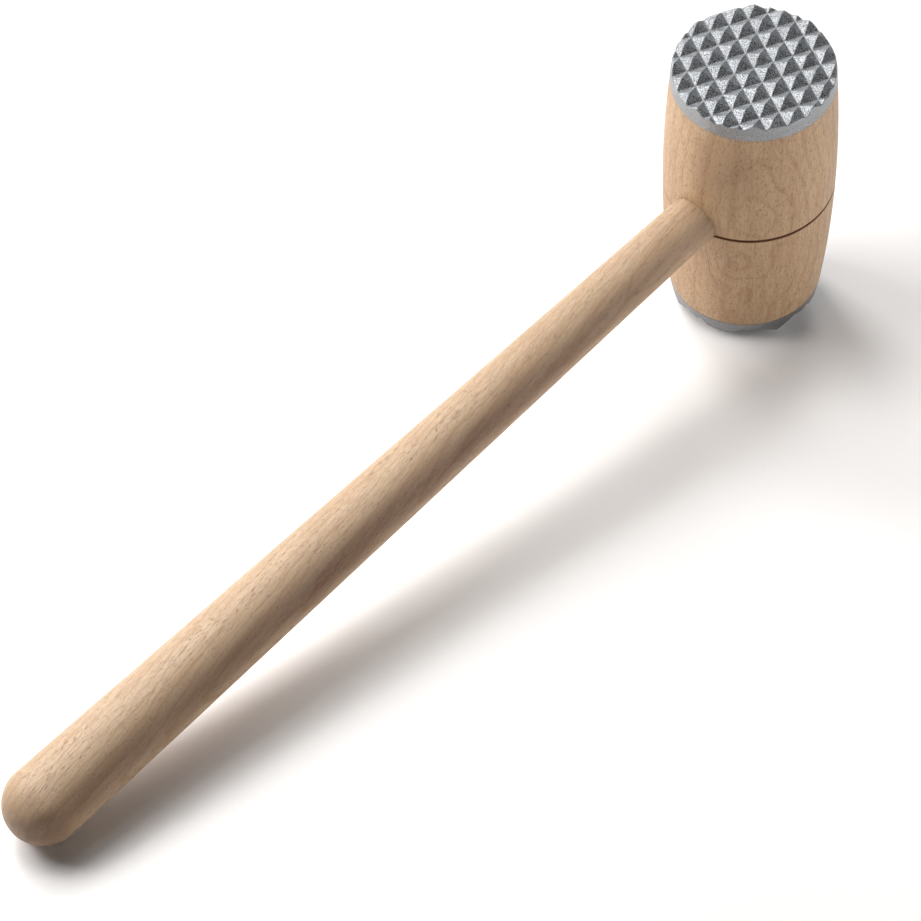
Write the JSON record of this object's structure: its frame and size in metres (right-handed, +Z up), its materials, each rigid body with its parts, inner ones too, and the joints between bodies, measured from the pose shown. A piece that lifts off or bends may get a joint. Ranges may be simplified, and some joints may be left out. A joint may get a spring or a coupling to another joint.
{
  "type": "meat mallet",
  "caption": "Wooden meat mallet: barrel-shaped beech head with a cast aluminium cap of fine teeth on one end and coarse teeth on the other, and a long tapered round handle.",
  "frame": {"origin": "on the table, under the middle of the bounding box of the mallet as it lies at rest", "axes": "+Z up from the table, -Y from the head towards the butt of the handle, +X to the right seen from the butt"},
  "size_m": [0.0556, 0.3296, 0.1099],
  "materials": {
    "head_beech": "sanded beech, unvarnished, satin",
    "handle_beech": "sanded beech, unvarnished, satin",
    "wedge_wood": "sanded dark hardwood",
    "cast_aluminium": "cast and tumbled, satin"
  },
  "bodies": {
    "root": {"head_barrel": "head_beech", "handle": "handle_beech", "handle_wedge": "wedge_wood", "fine_face_cap": "cast_aluminium", "coarse_face_cap": "cast_aluminium"}
  },
  "joints": []
}
